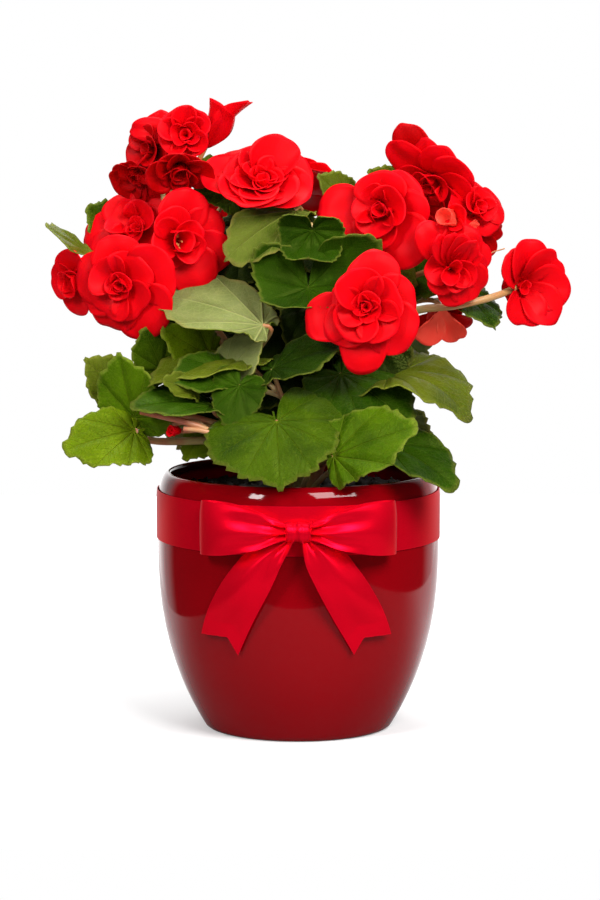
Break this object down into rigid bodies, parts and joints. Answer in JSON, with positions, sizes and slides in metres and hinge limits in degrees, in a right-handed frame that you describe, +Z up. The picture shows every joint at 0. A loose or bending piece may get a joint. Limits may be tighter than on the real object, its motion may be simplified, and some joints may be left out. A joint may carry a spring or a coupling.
{
  "type": "potted begonia",
  "caption": "Double begonia in a round glazed pot filled with soil, with toothed leaves, branching stems, full ruffled blooms and a satin ribbon with a bow.",
  "frame": {"origin": "centre of the pot's foot, on the plane it stands on", "axes": "+Z up, the front with the bow faces -Y, +X to the right seen from the front"},
  "size_m": [0.2659, 0.1733, 0.3291],
  "materials": {
    "glaze": "gloss",
    "soil": "matte",
    "satin": "satin",
    "stem": "satin",
    "leaf": "satin",
    "petal": "matte"
  },
  "bodies": {
    "root": {"pot": "glaze", "soil": "soil", "ribbon_band": "satin", "bow_knot": "satin", "bow_loop_left": "satin", "bow_loop_right": "satin", "bow_tail_left": "satin", "bow_tail_right": "satin", "stems": "stem", "bloom_crown": "petal", "bloom_left": "petal", "bloom_right_low": "petal", "bloom_right_mid": "petal", "bloom_left_upper": "petal", "bloom_left_inner": "petal", "bloom_right_top": "petal", "bloom_right_front": "petal", "bloom_far_right": "petal", "bloom_right_side": "petal", "bloom_top_a": "petal", "bloom_top_b": "petal", "bloom_top_c": "petal", "bloom_far_left": "petal", "bloom_bud": "petal", "bloom_right_dark": "petal", "bloom_right_behind": "petal", "bloom_right_inner": "petal", "bloom_rear_left": "petal", "bloom_rear_right": "petal", "bloom_rear_top": "petal", "bloom_rear_low": "petal", "leaf_front": "leaf", "leaf_front_right": "leaf", "leaf_right_low": "leaf", "leaf_right_arch": "leaf", "leaf_fan": "leaf", "leaf_cupped": "leaf", "leaf_pale_top": "leaf", "leaf_pale_left": "leaf", "leaf_pale_edge": "leaf", "leaf_round_left": "leaf", "leaf_long_left": "leaf", "leaf_low_left": "leaf", "leaf_upper_left": "leaf", "leaf_under_bloom": "leaf", "leaf_dark_centre": "leaf", "leaf_two_tone": "leaf", "leaf_far_left": "leaf", "leaf_top_left": "leaf", "leaf_back_top": "leaf", "leaf_olive": "leaf", "leaf_right_dark": "leaf", "leaf_side_left": "leaf", "leaf_side_right": "leaf", "leaf_rear": "leaf", "leaf_rear_left": "leaf", "leaf_rear_right": "leaf", "leaf_rear_low_left": "leaf", "leaf_rear_low_right": "leaf"}
  },
  "joints": []
}
